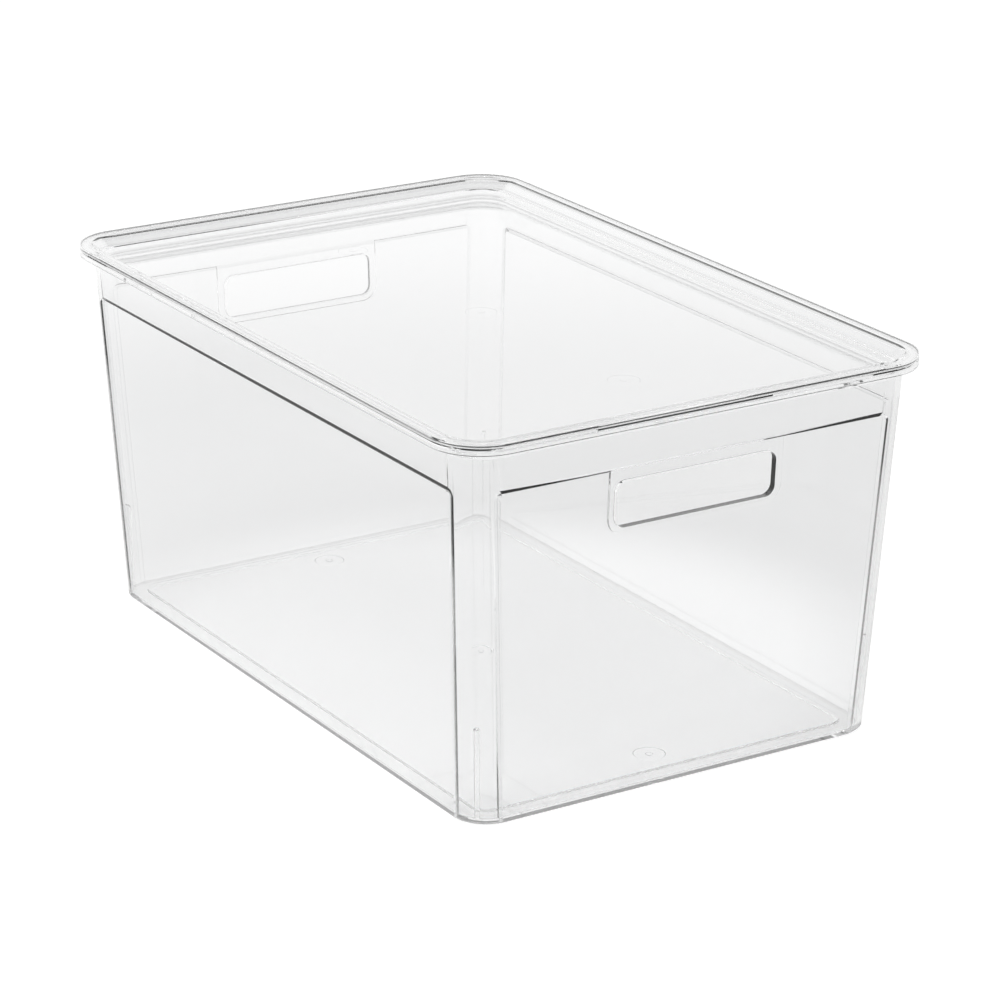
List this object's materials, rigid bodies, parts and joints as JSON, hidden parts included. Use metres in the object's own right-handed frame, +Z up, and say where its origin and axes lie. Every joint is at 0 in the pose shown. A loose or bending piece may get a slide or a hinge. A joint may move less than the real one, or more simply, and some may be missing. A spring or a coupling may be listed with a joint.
{
  "type": "storage box with lid",
  "caption": "Clear rectangular storage box with sloped walls, turned-down rim, sunken side panels, end hand holes and a lift-off lid with a sunken stacking top.",
  "frame": {"origin": "middle of the footprint, on the surface the box stands on", "axes": "+X the long way, towards one hand hole; +Y across the box; +Z up out of the mouth"},
  "size_m": [0.38, 0.255, 0.1851],
  "materials": {
    "bin_plastic": "clear polished moulded plastic",
    "lid_plastic": "clear polished moulded plastic"
  },
  "bodies": {
    "bin": {"bin": "bin_plastic"},
    "lid": {"lid": "lid_plastic"}
  },
  "joints": [
    {"name": "lid_lift", "type": "slide", "parent": "bin", "child": "lid", "axis": [0, 0, 1], "range_m": [0, 0.25]}
  ]
}
